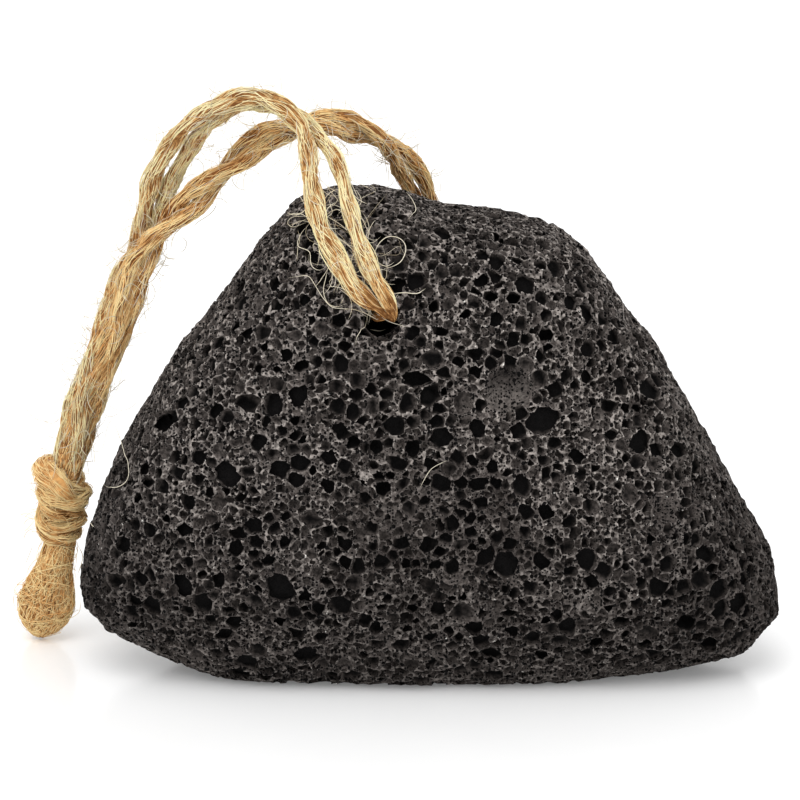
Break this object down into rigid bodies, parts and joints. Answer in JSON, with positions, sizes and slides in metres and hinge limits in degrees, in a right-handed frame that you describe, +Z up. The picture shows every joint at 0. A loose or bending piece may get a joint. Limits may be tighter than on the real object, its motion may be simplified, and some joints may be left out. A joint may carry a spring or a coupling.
{
  "type": "pumice stone",
  "caption": "Black porous lava pumice stone for the feet, with a drilled hole and a hanging loop of doubled jute twine that ends in a knot.",
  "frame": {"origin": "on the surface that the stone stands on, under the middle of the stone's own box", "axes": "+X along the stone's width, away from the side where the loop hangs down; +Y from the front face to the back; +Z up"},
  "size_m": [0.1098, 0.044, 0.0861],
  "materials": {
    "lava": "matte charcoal grey, foamed, with dark gas pits",
    "jute": "natural straw-coloured twisted fibre, hairy"
  },
  "bodies": {
    "root": {"stone": "lava", "front_strand_left": "jute", "front_strand_right": "jute", "back_strand_left": "jute", "back_strand_right": "jute", "knot": "jute", "tail": "jute"}
  },
  "joints": []
}
